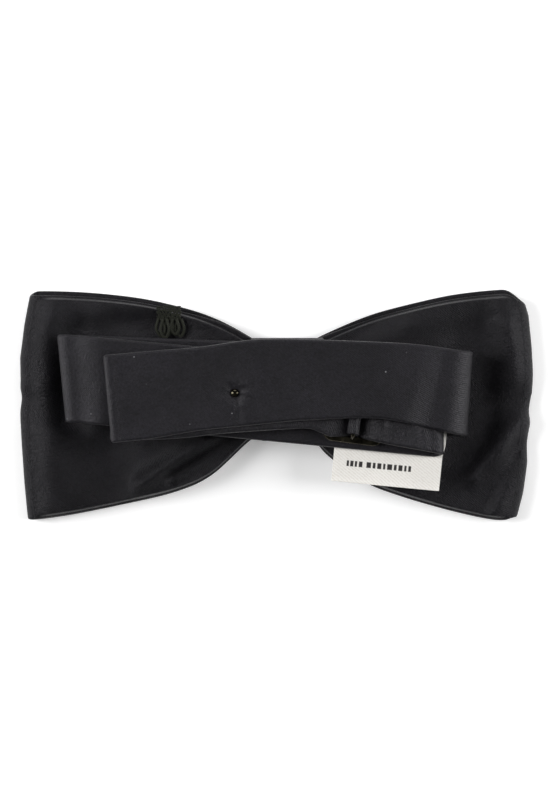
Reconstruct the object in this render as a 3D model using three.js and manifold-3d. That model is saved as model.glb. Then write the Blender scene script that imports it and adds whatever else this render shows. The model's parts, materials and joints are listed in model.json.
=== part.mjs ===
// A ready-tied satin bow tie on an adjustable neckband, lying on its front with its back up.
// Millimetres, +Z up out of the back of the tie, +X to the wearer's right, +Y to the top edge.
// The origin is under the middle of the bow, on the surface that the tie lies on.

import * as THREE from 'three';
import { mergeVertices } from 'three/addons/utils/BufferGeometryUtils.js';
import Module from 'manifold-3d';

const wasm = await Module();
wasm.setup();

// ---- driving dimensions ----

const GAP = 0.3;                    // clearance between pieces that touch

const BOW_HALF_WIDTH = 60;          // from the middle to the fold at the end of a wing
const BOW_HALF_HEIGHT = 26.3;       // from the middle to the corner of a wing
const WING_SWELL = 2.6;             // how soon a wing reaches its full height
const WING_PANEL = 0.8;             // satin with its fused backing
const WING_BACK_MIDDLE = 5.4;       // height of a wing's back half way out
const WING_BACK_END = 3.6;          // height of a wing's back near its end fold
const WING_END_ROUND = 2.4;         // length over which the back turns down at the end fold
const WING_LIFT_LENGTH = 26;        // length over which the front rises into the knot
const LINING = 0.5;
const LINING_MARGIN = 2.5;          // from the edge of a wing to the edge of its lining

const KNOT_X = 2.7;                 // the knot sits a little off the middle of the bow
const KNOT_Y = 4.2;
const KNOT_WIDTH = 16.3;
const KNOT_WALL = 0.8;
const KNOT_ROUND = 2.6;
const PAD_THICK = 0.8;
const PAD_MARGIN = 1.2;             // from the knot's wall to the edge of the padding
const PINCH_MARGIN = 0.25;          // the gathered bow inside the knot stands this far past the band
const PINCH_THICK = 4;
const THREAD = 0.5;                 // thickness of sewing thread
const THREAD_GAP = 0.2;             // clearance round a thread
const BINDING_TURNS = 3;
const BINDING_PITCH = 1.6;
const CLOSING_STITCHES = 7;

const BAND_WIDTH = 19.3;
const BAND_THICK = 1.2;
const BAND_LEFT_X = -47.2;          // where the band starts to turn at its left fold
const BAND_LEFT_Y = 6.3;            // middle of the band there
const UNDER_RUN_TILT = -2.25;       // degrees in plan, the run that passes through the knot
const MIDDLE_RUN_TILT = -5.45;      // the run on top of it
const OUTER_FOLD_X = 39.9;          // where the under run turns up into the top run
const INNER_FOLD_X = 36.9;          // where the middle run turns up into the slider run
const SLIDER_GATHER = 1.7;          // the band is this much narrower where it is gathered in the slider
const RUN_END_X = -39;              // the two ends of the band, one on the other
const SLIDER_RUN_INSET = 0.6;       // the lower end stops this much short of the upper one
const TOP_RUN_CREST_Y = 5.9;        // middle of the top run where it is highest in plan
const TOP_RUN_CREST_X = 9;
const TOP_RUN_LEFT_Y = 1.6;
const TOP_RUN_RIGHT_Y = 3;

const SLIDER_X = 19.1;
const SLIDER_Y = 2.9;
const SLIDER_TILT = -7.4;           // degrees in plan
const SLIDER_LENGTH = 14.6;         // along the band
const SKEW_FADE = 9;                // length over which the band turns square to the slider
const SLIDER_BAR = 1.9;             // width of a bar
const SLIDER_THICK = 1.3;
const SLIDER_CORNER = 2.2;
const SLIDER_SLOT_EXTRA = 1.3;      // each side of the gathered band
const CENTRE_BAR_RADIUS = 0.5;
const KEEPER_WALL = 0.5;
const KEEPER_MARGIN = 1.2;          // from the slider's side bar to the edge of the keeper

const STUD_X = -9.5;
const STUD_BELOW_MIDDLE = 2.6;      // from the middle of the top run, across it
const STUD_CAP_RADIUS = 0.95;
const STUD_CAP_HEIGHT = 0.8;
const STUD_POST_RADIUS = 0.45;
const STUD_TIP_RADIUS = 0.65;
const STUD_TIP_HEIGHT = 0.4;
const STUD_TIP_SHOULDER = 0.25;
const STUD_WASHER_RADIUS = 1.5;
const STUD_WASHER_THICK = 0.2;
const EYELET_WALL = 0.35;
const EYELET_RIM = 0.3;

const LABEL_WIDTH = 25.2;
const LABEL_FLAP = 8.4;             // length that hangs free of the band
const LABEL_TAB = 4.6;              // length sewn under the band
const LABEL_THICK = 0.25;
const LABEL_CENTRE_X = 26.2;
const LABEL_DROOP = 11;             // degrees, towards the wing
const STITCH_PITCH = 1.8;

const TUFT_X = -24.6;
const TUFT_Y = 19.2;
const TUFT_SIZE = 5.4;
const TUFT_LOOPS = 3;
const TUFT_SWING = 1.8;             // of a loop to each side of the line the thread lies on
const TUFT_LEAN = 20;               // degrees in plan

// ---- steps of the curved surfaces ----

const WING_STEPS = 22;
const WING_ACROSS_STEPS = 4;
const FOLD_STEPS = 10;
const RUN_STEPS = 8;
const TOP_RUN_STEPS = 18;
const SLIDER_RUN_STEPS = 60;
const CENTRE_BAR_STEPS = 60;
const BINDING_STEPS = 40;           // in one turn
const STITCH_STEPS = 4;
const ROUND_STEPS = 20;
const DRILL_STEPS = 24;
const DOME_STEPS = 4;

// ---- sizes that follow from the band ----

const pinchHalfHeight = BAND_WIDTH / 2 + PINCH_MARGIN;
const knotInnerHalfHeight = pinchHalfHeight + THREAD + THREAD_GAP + GAP + THREAD_GAP / 2;
const knotHeight = 2 * (knotInnerHalfHeight + KNOT_WALL);
const sliderRunWidth = BAND_WIDTH - SLIDER_GATHER;

// ---- heights, worked out from the surface up ----

const padBottom = KNOT_WALL + GAP;
const padTop = padBottom + PAD_THICK;
const pinchBottom = padTop + THREAD + 2 * THREAD_GAP;
const pinchTop = pinchBottom + PINCH_THICK;
const underRunBottom = pinchTop + THREAD + THREAD_GAP + GAP;
const underRunTop = underRunBottom + BAND_THICK;
const knotBackBottom = underRunTop + GAP;
const knotBackTop = knotBackBottom + KNOT_WALL;
const labelBottom = knotBackTop + GAP + THREAD + THREAD_GAP;
const middleRunBottom = labelBottom + LABEL_THICK + GAP;
const middleRunTop = middleRunBottom + BAND_THICK;
const wovenBottom = middleRunTop + GAP;
const wovenTop = wovenBottom + BAND_THICK;
const sliderBottom = middleRunTop + GAP;
const sliderTop = sliderBottom + SLIDER_THICK;
const overBarBottom = sliderTop + GAP;
const keeperRadius = CENTRE_BAR_RADIUS + GAP + KEEPER_WALL;
const centreBarZ = wovenTop + GAP + keeperRadius;
const keeperTop = centreBarZ + keeperRadius;
const topRunBottom = keeperTop + GAP;
const topRunTop = topRunBottom + BAND_THICK;
const sliderRunTop = topRunBottom - STUD_WASHER_THICK - 2 * THREAD_GAP;
const sliderRunBottom = sliderRunTop - BAND_THICK;

const middleOf = (a, b) => (a + b) / 2;
const radians = THREE.MathUtils.degToRad;
const slope = (degrees) => Math.tan(radians(degrees));
const smooth = (t) => {
  const u = THREE.MathUtils.clamp(t, 0, 1);
  return u * u * (3 - 2 * u);
};
const mix = THREE.MathUtils.lerp;

// ---- materials ----

const satin = () => new THREE.MeshStandardMaterial({ color: 0x1d1c22, roughness: 0.55 });
const lining = () => new THREE.MeshStandardMaterial({ color: 0xd9d6cf, roughness: 0.9 });
const thread = () => new THREE.MeshStandardMaterial({ color: 0x17161a, roughness: 0.8 });
const labelSatin = () => new THREE.MeshStandardMaterial({ color: 0xe9e5df, roughness: 0.6 });
const gunmetal = () => new THREE.MeshStandardMaterial({ color: 0x4a4740, roughness: 0.3, metalness: 1 });

// ---- solids ----

function toSolid(geometry) {
  const bare = geometry.clone();
  bare.deleteAttribute('normal');
  bare.deleteAttribute('uv');
  const merged = mergeVertices(bare, 1e-4);
  return new wasm.Manifold(new wasm.Mesh({
    numProp: 3,
    vertProperties: new Float32Array(merged.attributes.position.array),
    triVerts: new Uint32Array(merged.index.array),
  }));
}

function toGeometry(solid) {
  const mesh = solid.getMesh();
  const geometry = new THREE.BufferGeometry();
  geometry.setAttribute('position', new THREE.BufferAttribute(mesh.vertProperties, 3));
  geometry.setIndex(new THREE.BufferAttribute(mesh.triVerts, 1));
  geometry.computeVertexNormals();
  return geometry;
}

const cut = (from, tool) => toGeometry(toSolid(from).subtract(toSolid(tool)));

// A box whose length, breadth and thickness follow place(along 0..1, across -1..1, through 0..1).
function sheet(lengthSteps, widthSteps, place) {
  const geometry = new THREE.BoxGeometry(1, 2, 1, lengthSteps, widthSteps, 1);
  const position = geometry.attributes.position;
  const point = new THREE.Vector3();
  for (let i = 0; i < position.count; i += 1) {
    point.fromBufferAttribute(position, i);
    const placed = place(point.x + 0.5, point.y, point.z + 0.5);
    position.setXYZ(i, placed.x, placed.y, placed.z);
  }
  geometry.computeVertexNormals();
  return geometry;
}

// A flat band that follows a centreline of points, which lie in order of the band's length.
function band(points, width, thick) {
  const last = points.length - 1;
  return sheet(last, 1, (along, across, through) => {
    const i = Math.round(along * last);
    const before = points[Math.max(i - 1, 0)];
    const after = points[Math.min(i + 1, last)];
    const run = new THREE.Vector2(after.x - before.x, after.z - before.z).normalize();
    const off = (through - 0.5) * thick;
    return new THREE.Vector3(
      points[i].x - run.y * off,
      points[i].y + across * width / 2,
      points[i].z + run.x * off,
    );
  });
}

// Points of a half-round fold that starts at x, zStart and ends at x, zEnd. side is 1 or -1.
function foldPoints(x, zStart, zEnd, side, yStart, yEnd) {
  const radius = Math.abs(zEnd - zStart) / 2;
  const z = middleOf(zStart, zEnd);
  const points = [];
  for (let i = 0; i <= FOLD_STEPS; i += 1) {
    const share = i / FOLD_STEPS;
    const turn = Math.PI * share;
    points.push(new THREE.Vector3(
      x + side * radius * Math.sin(turn),
      mix(yStart, yEnd, share),
      z + Math.sign(zStart - zEnd) * radius * Math.cos(turn),
    ));
  }
  return points;
}

function straightPoints(xStart, xEnd, steps, yAt, zAt) {
  const points = [];
  for (let i = 0; i <= steps; i += 1) {
    const x = mix(xStart, xEnd, i / steps);
    points.push(new THREE.Vector3(x, yAt(x), zAt(x)));
  }
  return points;
}

function strand(curve, thick, steps) {
  const section = new THREE.Shape();
  section.absarc(0, 0, thick / 2, 0, 2 * Math.PI);
  return new THREE.ExtrudeGeometry(section, {
    steps,
    curveSegments: 3,
    bevelEnabled: false,
    extrudePath: curve,
  });
}

function roundedRectangle(width, height, radius) {
  const shape = new THREE.Shape();
  const w = width / 2;
  const h = height / 2;
  shape.moveTo(-w + radius, -h);
  shape.lineTo(w - radius, -h);
  shape.absarc(w - radius, -h + radius, radius, -Math.PI / 2, 0);
  shape.lineTo(w, h - radius);
  shape.absarc(w - radius, h - radius, radius, 0, Math.PI / 2);
  shape.lineTo(-w + radius, h);
  shape.absarc(-w + radius, h - radius, radius, Math.PI / 2, Math.PI);
  shape.lineTo(-w, -h + radius);
  shape.absarc(-w + radius, -h + radius, radius, Math.PI, 3 * Math.PI / 2);
  return shape;
}

const extrude = (shape, depth) => new THREE.ExtrudeGeometry(shape, {
  depth,
  bevelEnabled: false,
  curveSegments: 6,
});

const model = new THREE.Group();

function add(name, geometry, material, parent = model) {
  const mesh = new THREE.Mesh(geometry, material);
  mesh.name = name;
  parent.add(mesh);
  return mesh;
}

// ---- the bow ----

const wingStart = KNOT_WIDTH / 2;   // from the knot's middle to where a wing leaves the knot

// How far out of the knot a point of a wing is, from 0 to 1.
function wingShare(x) {
  const side = Math.sign(x - KNOT_X) || 1;
  const start = KNOT_X + side * wingStart;
  return THREE.MathUtils.clamp((x - start) / (side * BOW_HALF_WIDTH - start), 0, 1);
}

function wingEdge(x, across) {
  const full = across > 0 ? BOW_HALF_HEIGHT : -BOW_HALF_HEIGHT;
  const pinch = KNOT_Y + Math.sign(across) * pinchHalfHeight;
  return mix(full, pinch, (1 - wingShare(x)) ** WING_SWELL);
}

const wingY = (x, across, inset) => {
  const top = wingEdge(x, 1) - inset;
  const bottom = wingEdge(x, -1) + inset;
  return mix(bottom, top, (across + 1) / 2);
};

const outOfKnot = (x) => Math.max(Math.abs(x - KNOT_X) - wingStart, 0);
const wingFrontZ = (x) => pinchBottom * (1 - smooth(outOfKnot(x) / WING_LIFT_LENGTH));

function wingBackZ(x) {
  const share = wingShare(x);
  const swell = share < 0.5
    ? mix(pinchTop, WING_BACK_MIDDLE, smooth(share * 2))
    : mix(WING_BACK_MIDDLE, WING_BACK_END, smooth(share * 2 - 1));
  const fromEnd = BOW_HALF_WIDTH - Math.abs(x);
  const turned = THREE.MathUtils.clamp(1 - fromEnd / WING_END_ROUND, 0, 1);
  const closed = 2 * WING_PANEL + GAP;
  return mix(closed, swell, Math.sqrt(1 - turned * turned));
}

// Where a step of a wing lies, closer together towards the end fold.
function wingX(side, along, endInset) {
  const end = side * (BOW_HALF_WIDTH - endInset);
  return mix(KNOT_X + side * GAP / 2, end, Math.sin(along * Math.PI / 2));
}

const wingFront = (side) => sheet(WING_STEPS, WING_ACROSS_STEPS, (along, across, through) => {
  const x = wingX(side, along, 0);
  return new THREE.Vector3(x, wingY(x, side * across, 0), wingFrontZ(x) + through * WING_PANEL);
});

const wingBack = (side) => sheet(WING_STEPS, WING_ACROSS_STEPS, (along, across, through) => {
  const x = wingX(side, along, 0);
  return new THREE.Vector3(x, wingY(x, side * across, 0), wingBackZ(x) - (1 - through) * WING_PANEL);
});

const wingLining = (side) => sheet(WING_STEPS, WING_ACROSS_STEPS, (along, across, through) => {
  const x = wingX(side, along, WING_END_ROUND + LINING_MARGIN);
  const inset = LINING_MARGIN * smooth(outOfKnot(x) / LINING_MARGIN);
  const z = middleOf(wingFrontZ(x) + WING_PANEL, wingBackZ(x) - WING_PANEL);
  return new THREE.Vector3(x, wingY(x, side * across, inset), z + (through - 0.5) * LINING);
});

function addWing(side, name) {
  add(`wing_front_${name}`, wingFront(side), satin());
  add(`wing_back_${name}`, wingBack(side), satin());
  add(`wing_lining_${name}`, wingLining(side), lining());
}

addWing(-1, 'left');
addWing(1, 'right');

// ---- the knot ----

const knotThick = knotBackTop;

function knotSection(inset) {
  return roundedRectangle(knotHeight - 2 * inset, knotThick - 2 * inset, KNOT_ROUND - inset);
}

function knotWrap() {
  const section = knotSection(0);
  section.holes.push(knotSection(KNOT_WALL));
  const geometry = extrude(section, KNOT_WIDTH);
  geometry.rotateX(Math.PI / 2);
  geometry.rotateZ(Math.PI / 2);
  geometry.translate(KNOT_X - KNOT_WIDTH / 2, KNOT_Y, knotThick / 2);
  return geometry;
}

function knotPadding() {
  const width = KNOT_WIDTH - 2 * PAD_MARGIN;
  const height = knotHeight - 2 * (KNOT_ROUND + PAD_MARGIN);
  const geometry = extrude(roundedRectangle(width, height, PAD_MARGIN), PAD_THICK);
  geometry.translate(KNOT_X, KNOT_Y, padBottom);
  return geometry;
}

// A thread wound round the gathered bow inside the knot.
class BindingCurve extends THREE.Curve {
  getPoint(t, target = new THREE.Vector3()) {
    const off = THREAD_GAP + THREAD / 2;
    const height = 2 * (pinchHalfHeight + off);
    const section = roundedRectangle(height, PINCH_THICK + 2 * off, off);
    const at = section.getPointAt((t * BINDING_TURNS) % 1);
    const x = KNOT_X + (t - 0.5) * BINDING_TURNS * BINDING_PITCH;
    return target.set(x, KNOT_Y + at.x, middleOf(pinchBottom, pinchTop) + at.y);
  }
}

// A zigzag of thread that closes the wrap along its lower side.
function knotStitches() {
  const reach = KNOT_WIDTH - 4 * PAD_MARGIN;
  const points = [];
  for (let i = 0; i < CLOSING_STITCHES; i += 1) {
    points.push(new THREE.Vector3(
      KNOT_X + reach * (i / (CLOSING_STITCHES - 1) - 0.5),
      KNOT_Y - knotHeight / 2 - THREAD / 2 - THREAD_GAP,
      knotThick / 2 + (i % 2 ? 2 : -2) * THREAD,
    ));
  }
  return strand(new THREE.CatmullRomCurve3(points), THREAD, STITCH_STEPS * CLOSING_STITCHES);
}

add('knot_wrap', knotWrap(), satin());
add('knot_padding', knotPadding(), lining());
add('knot_binding_thread', strand(new BindingCurve(), THREAD, BINDING_TURNS * BINDING_STEPS), thread());
add('knot_closing_stitches', knotStitches(), thread());

// ---- the loose thread on the wing ----

function threadTuft() {
  const count = 4 * TUFT_LOOPS + 1;
  const points = [];
  for (let i = 0; i < count; i += 1) {
    const share = i / (count - 1);
    const x = TUFT_X + (share - 0.5) * TUFT_SIZE;
    const swing = TUFT_SWING * Math.sin(share * TUFT_LOOPS * 2 * Math.PI);
    const y = TUFT_Y - slope(TUFT_LEAN) * (x - TUFT_X) + swing;
    points.push(new THREE.Vector3(x, y, wingBackZ(x) + GAP + THREAD / 2));
  }
  return strand(new THREE.CatmullRomCurve3(points), THREAD, STITCH_STEPS * count);
}

add('thread_tuft', threadTuft(), thread());

// ---- the neckband ----

const underRunY = (x) => BAND_LEFT_Y + (x - BAND_LEFT_X) * slope(UNDER_RUN_TILT);
const middleRunY = (x) => BAND_LEFT_Y + (x - BAND_LEFT_X) * slope(MIDDLE_RUN_TILT);
const underRunZ = middleOf(underRunBottom, underRunTop);
const middleRunZ = middleOf(middleRunBottom, middleRunTop);
const topRunZ = middleOf(topRunBottom, topRunTop);
const overBarZ = overBarBottom + BAND_THICK / 2;
const sliderRunZ = middleOf(sliderRunBottom, sliderRunTop);
const wovenZ = middleOf(wovenBottom, wovenTop);

// The top run bows up in plan: a curve through its left end, its crest and its fold.
function topRunY(x) {
  const left = RUN_END_X - TOP_RUN_CREST_X;
  const right = OUTER_FOLD_X - TOP_RUN_CREST_X;
  const leftDrop = (TOP_RUN_LEFT_Y - TOP_RUN_CREST_Y) / left;
  const rightDrop = (TOP_RUN_RIGHT_Y - TOP_RUN_CREST_Y) / right;
  const curve = (rightDrop - leftDrop) / (right - left);
  const from = x - TOP_RUN_CREST_X;
  return TOP_RUN_CREST_Y + from * (leftDrop + curve * (from - left));
}

// The run from the inner fold lies straight to the slider and then under the top run.
const sliderRunY = (x) => {
  const right = middleRunY(INNER_FOLD_X);
  return x > SLIDER_X
    ? mix(SLIDER_Y, right, (x - SLIDER_X) / (INNER_FOLD_X - SLIDER_X))
    : mix(SLIDER_Y, TOP_RUN_LEFT_Y, (SLIDER_X - x) / (SLIDER_X - RUN_END_X));
};

const barReach = SLIDER_LENGTH / 2 - SLIDER_BAR;

// Over one bar of the slider, under the middle one and its keeper, over the other.
function sliderRunHeight(x) {
  const off = Math.abs(x - SLIDER_X);
  const dip = smooth((off - keeperRadius - GAP) / (barReach - keeperRadius - 2 * GAP));
  const past = smooth((off - SLIDER_LENGTH / 2 - GAP) / SLIDER_LENGTH);
  return mix(wovenZ, x > SLIDER_X ? overBarZ : mix(overBarZ, sliderRunZ, past), dip);
}

// The cloth lies square to the slider where it passes through it.
function squareToSlider(geometry) {
  const skew = -Math.tan(radians(SLIDER_TILT));
  const at = geometry.attributes.position;
  for (let i = 0; i < at.count; i++) {
    const x = at.getX(i);
    const near = 1 - smooth((Math.abs(x - SLIDER_X) - SLIDER_LENGTH / 2) / SKEW_FADE);
    at.setX(i, x + skew * (at.getY(i) - sliderRunY(x)) * near);
  }
  return geometry;
}

function lowerRuns() {
  const under = straightPoints(OUTER_FOLD_X - GAP, BAND_LEFT_X, RUN_STEPS, underRunY, () => underRunZ);
  const turn = foldPoints(BAND_LEFT_X, underRunZ, middleRunZ, -1, BAND_LEFT_Y, BAND_LEFT_Y);
  const middle = straightPoints(BAND_LEFT_X, INNER_FOLD_X - GAP, RUN_STEPS, middleRunY, () => middleRunZ);
  return band([...under.slice(0, -1), ...turn, ...middle.slice(1)], BAND_WIDTH, BAND_THICK);
}

const stud = new THREE.Vector3(STUD_X, topRunY(STUD_X) - STUD_BELOW_MIDDLE, 0);

function drilled(geometry, radius) {
  const drill = new THREE.CylinderGeometry(radius, radius, 4 * knotThick, DRILL_STEPS);
  drill.rotateX(Math.PI / 2);
  drill.translate(stud.x, stud.y, 0);
  return cut(geometry, drill);
}

function topRun() {
  const points = straightPoints(OUTER_FOLD_X - GAP, RUN_END_X, TOP_RUN_STEPS, topRunY, () => topRunZ);
  return drilled(band(points, BAND_WIDTH, BAND_THICK), STUD_POST_RADIUS + GAP);
}

const eyeletInner = STUD_TIP_RADIUS + GAP;
const eyeletOuter = eyeletInner + EYELET_WALL;

function sliderRun() {
  const end = RUN_END_X + SLIDER_RUN_INSET;
  const points = straightPoints(INNER_FOLD_X - GAP, end, SLIDER_RUN_STEPS, sliderRunY, sliderRunHeight);
  const run = squareToSlider(band(points, sliderRunWidth, BAND_THICK));
  return drilled(run, eyeletOuter + THREAD_GAP);
}

const outerFold = () => band(
  foldPoints(OUTER_FOLD_X, underRunZ, topRunZ, 1, underRunY(OUTER_FOLD_X), topRunY(OUTER_FOLD_X)),
  BAND_WIDTH,
  BAND_THICK,
);

const innerFold = () => band(
  foldPoints(INNER_FOLD_X, middleRunZ, overBarZ, 1, middleRunY(INNER_FOLD_X), sliderRunY(INNER_FOLD_X)),
  sliderRunWidth,
  BAND_THICK,
);

add('band_lower_runs', lowerRuns(), satin());
add('band_outer_fold', outerFold(), satin());
add('band_inner_fold', innerFold(), satin());
add('band_top_run', topRun(), satin());
add('band_slider_run', sliderRun(), satin());

// ---- the closure stud and its eyelet ----

function turned(profile) {
  const geometry = new THREE.LatheGeometry(profile.map(([r, z]) => new THREE.Vector2(r, z)), ROUND_STEPS);
  geometry.rotateX(Math.PI / 2);
  geometry.translate(stud.x, stud.y, 0);
  return geometry;
}

// Half of a dome's outline, from its rim to its pole. direction is 1 for up and -1 for down.
function dome(radius, height, base, direction) {
  const points = [];
  for (let i = 0; i <= DOME_STEPS; i += 1) {
    const share = i / DOME_STEPS;
    points.push([radius * Math.sqrt(1 - share * share), base + direction * height * share]);
  }
  return points;
}

function closureStud() {
  const capBottom = topRunTop + THREAD_GAP;
  const tipTop = sliderRunBottom - THREAD_GAP;
  return turned([
    ...dome(STUD_TIP_RADIUS, STUD_TIP_HEIGHT, tipTop - STUD_TIP_SHOULDER, -1).reverse(),
    [STUD_POST_RADIUS, tipTop],
    [STUD_POST_RADIUS, capBottom],
    ...dome(STUD_CAP_RADIUS, STUD_CAP_HEIGHT, capBottom, 1),
  ]);
}

function ring(inner, outer, bottom, top) {
  return turned([[inner, bottom], [outer, bottom], [outer, top], [inner, top], [inner, bottom]]);
}

function bandEyelet() {
  const rim = eyeletOuter + THREAD_GAP + EYELET_RIM;
  const under = sliderRunBottom - THREAD_GAP;
  return turned([
    [eyeletInner, under - EYELET_RIM],
    [rim, under - EYELET_RIM],
    [rim, under],
    [eyeletOuter, under],
    [eyeletOuter, sliderRunTop],
    [eyeletInner, sliderRunTop],
    [eyeletInner, under - EYELET_RIM],
  ]);
}

add('closure_stud', closureStud(), gunmetal());
add('stud_washer', ring(
  STUD_POST_RADIUS + THREAD_GAP / 2,
  STUD_WASHER_RADIUS,
  sliderRunTop + THREAD_GAP,
  sliderRunTop + THREAD_GAP + STUD_WASHER_THICK,
), gunmetal());
add('band_eyelet', bandEyelet(), gunmetal());

// ---- the slider ----

const sliderWidth = sliderRunWidth + 2 * (SLIDER_SLOT_EXTRA + SLIDER_BAR);
const sliderPlace = new THREE.Group();
sliderPlace.position.set(SLIDER_X, SLIDER_Y, 0);
sliderPlace.rotation.z = radians(SLIDER_TILT);
model.add(sliderPlace);

function sliderFrame() {
  const shape = roundedRectangle(SLIDER_LENGTH, sliderWidth, SLIDER_CORNER);
  shape.holes.push(roundedRectangle(
    SLIDER_LENGTH - 2 * SLIDER_BAR,
    sliderWidth - 2 * SLIDER_BAR,
    SLIDER_CORNER / 2,
  ));
  const geometry = extrude(shape, SLIDER_THICK);
  geometry.translate(0, 0, sliderBottom);
  return geometry;
}

// The middle bar stands above the frame on a foot at each end.
function centreBar() {
  const halfBar = sliderWidth / 2 - SLIDER_BAR / 2;
  const foot = sliderTop + GAP;
  const points = [
    new THREE.Vector3(0, -halfBar, foot),
    new THREE.Vector3(0, -halfBar, centreBarZ),
    new THREE.Vector3(0, halfBar, centreBarZ),
    new THREE.Vector3(0, halfBar, foot),
  ];
  const path = new THREE.CurvePath();
  points.slice(1).forEach((point, i) => path.add(new THREE.LineCurve3(points[i], point)));
  return strand(path, 2 * CENTRE_BAR_RADIUS, CENTRE_BAR_STEPS);
}

// The end of the band, turned round the middle bar and sewn to itself.
function keeperLoop() {
  const shape = new THREE.Shape();
  shape.absarc(0, 0, keeperRadius, 0, 2 * Math.PI);
  const hole = new THREE.Path();
  hole.absarc(0, 0, keeperRadius - KEEPER_WALL, 0, 2 * Math.PI, true);
  shape.holes.push(hole);
  const width = sliderWidth - 2 * (SLIDER_BAR + KEEPER_MARGIN);
  const geometry = extrude(shape, width);
  geometry.rotateX(Math.PI / 2);
  geometry.translate(0, width / 2, centreBarZ);
  return geometry;
}

add('slider_frame', sliderFrame(), gunmetal(), sliderPlace);
add('slider_centre_bar', centreBar(), gunmetal(), sliderPlace);
add('slider_keeper_loop', keeperLoop(), satin(), sliderPlace);

// ---- the care label ----

const labelSeamY = middleRunY(LABEL_CENTRE_X) - BAND_WIDTH / 2;
const labelPlace = new THREE.Group();
labelPlace.position.set(LABEL_CENTRE_X, labelSeamY, labelBottom);
labelPlace.rotation.z = radians(MIDDLE_RUN_TILT);
model.add(labelPlace);

function labelTab() {
  const geometry = new THREE.BoxGeometry(LABEL_WIDTH, LABEL_TAB, LABEL_THICK);
  geometry.translate(0, LABEL_TAB / 2 + GAP, LABEL_THICK / 2);
  return geometry;
}

function labelFlap() {
  const geometry = new THREE.BoxGeometry(LABEL_WIDTH, LABEL_FLAP, LABEL_THICK);
  geometry.translate(0, -LABEL_FLAP / 2, LABEL_THICK / 2);
  geometry.rotateX(radians(LABEL_DROOP));
  return geometry;
}

// Running stitches under the tab, as one thread that rises and falls.
function labelStitches() {
  const waves = Math.floor((LABEL_WIDTH - 2 * STITCH_PITCH) / STITCH_PITCH);
  const points = [];
  for (let i = 0; i <= 2 * waves; i += 1) {
    points.push(new THREE.Vector3(
      (i / (2 * waves) - 0.5) * (LABEL_WIDTH - 2 * STITCH_PITCH),
      LABEL_TAB / 2 + (i % 2 ? 1 : -1) * THREAD,
      -THREAD / 2 - THREAD_GAP,
    ));
  }
  return strand(new THREE.CatmullRomCurve3(points), THREAD, STITCH_STEPS * waves);
}

add('care_label_flap', labelFlap(), labelSatin(), labelPlace);
add('care_label_tab', labelTab(), labelSatin(), labelPlace);
add('care_label_stitches', labelStitches(), thread(), labelPlace);

export default model;
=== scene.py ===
"""The looks of a ready-tied satin bow tie that lies on its front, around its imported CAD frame.

Shapes are worked out in millimetres and stored in metres. Places come from the frame's nodes.
"""

import json
import math
import random

import bmesh
import bpy
import numpy as np
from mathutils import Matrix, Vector


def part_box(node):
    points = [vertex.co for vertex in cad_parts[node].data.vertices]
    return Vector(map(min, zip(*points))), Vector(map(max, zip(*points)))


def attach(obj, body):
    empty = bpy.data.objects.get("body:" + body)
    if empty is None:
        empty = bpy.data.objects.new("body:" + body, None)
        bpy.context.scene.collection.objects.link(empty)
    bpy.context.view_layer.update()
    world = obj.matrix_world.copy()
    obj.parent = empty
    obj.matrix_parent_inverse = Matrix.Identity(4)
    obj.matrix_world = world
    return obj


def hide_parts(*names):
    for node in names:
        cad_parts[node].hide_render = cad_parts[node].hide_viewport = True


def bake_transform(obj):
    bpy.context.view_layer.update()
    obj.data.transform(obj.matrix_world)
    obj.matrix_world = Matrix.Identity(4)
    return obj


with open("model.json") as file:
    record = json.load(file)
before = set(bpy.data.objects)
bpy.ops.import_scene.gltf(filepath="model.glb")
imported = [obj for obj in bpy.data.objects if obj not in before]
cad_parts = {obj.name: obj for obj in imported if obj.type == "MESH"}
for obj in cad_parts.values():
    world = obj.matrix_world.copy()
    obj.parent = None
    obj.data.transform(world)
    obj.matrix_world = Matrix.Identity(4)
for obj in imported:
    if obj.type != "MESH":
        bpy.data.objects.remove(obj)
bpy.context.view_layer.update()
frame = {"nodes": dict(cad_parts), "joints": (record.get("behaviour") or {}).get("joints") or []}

MM = 0.001
RANDOM_SEED = 7

# ---- sizes of the looks, in millimetres ----

BAND_WIDTH = 19.3
BAND_THICK = 1.15
WING_CLOTH = 0.75
ABOVE_FLOOR = 0.02
EDGE_CROWDING = 0.6                  # how much closer together a strip's points lie at its edges
SLIDER_TILT = math.radians(-7.4)
SLIDER_HALF_LENGTH = 7.3
SKEW_FADE = 9                        # length over which the band turns square to the slider
SLIDER_BAR = 1.7
SLIDER_CORNER = 2.4
CENTRE_BAR_RADIUS = 0.5
LABEL_SIZE = (25.2, 8.4, 6.0, 0.22)  # across, free end, sewn end, thickness
PHOTO_MM_PER_PIXEL = 0.233
IMAGE_HEIGHT = 794
LENS_MM = 250.0
SENSOR_MM = 36.0
CAMERA_OVER = (-0.0002, 0.002)       # metres
CAMERA_RISE = 0.008                  # metres
FLOOR_HALF_SIZE = 3.0                # metres
FLOOR_GAP = 0.0002                   # metres, between the tie and the floor


def box(node):
    """A CAD node's lowest and highest corners, in millimetres."""
    low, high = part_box(node)
    return np.array(low) / MM, np.array(high) / MM


def middle(node):
    low, high = box(node)
    return (low + high) / 2


def smooth(t):
    t = np.clip(t, 0.0, 1.0)
    return t * t * (3 - 2 * t)


def bump(x, centre, width):
    """A rounded hump of height 1."""
    return np.exp(-(((x - centre) / width) ** 2))


# ---- reading centrelines from the CAD nodes ----


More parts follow.
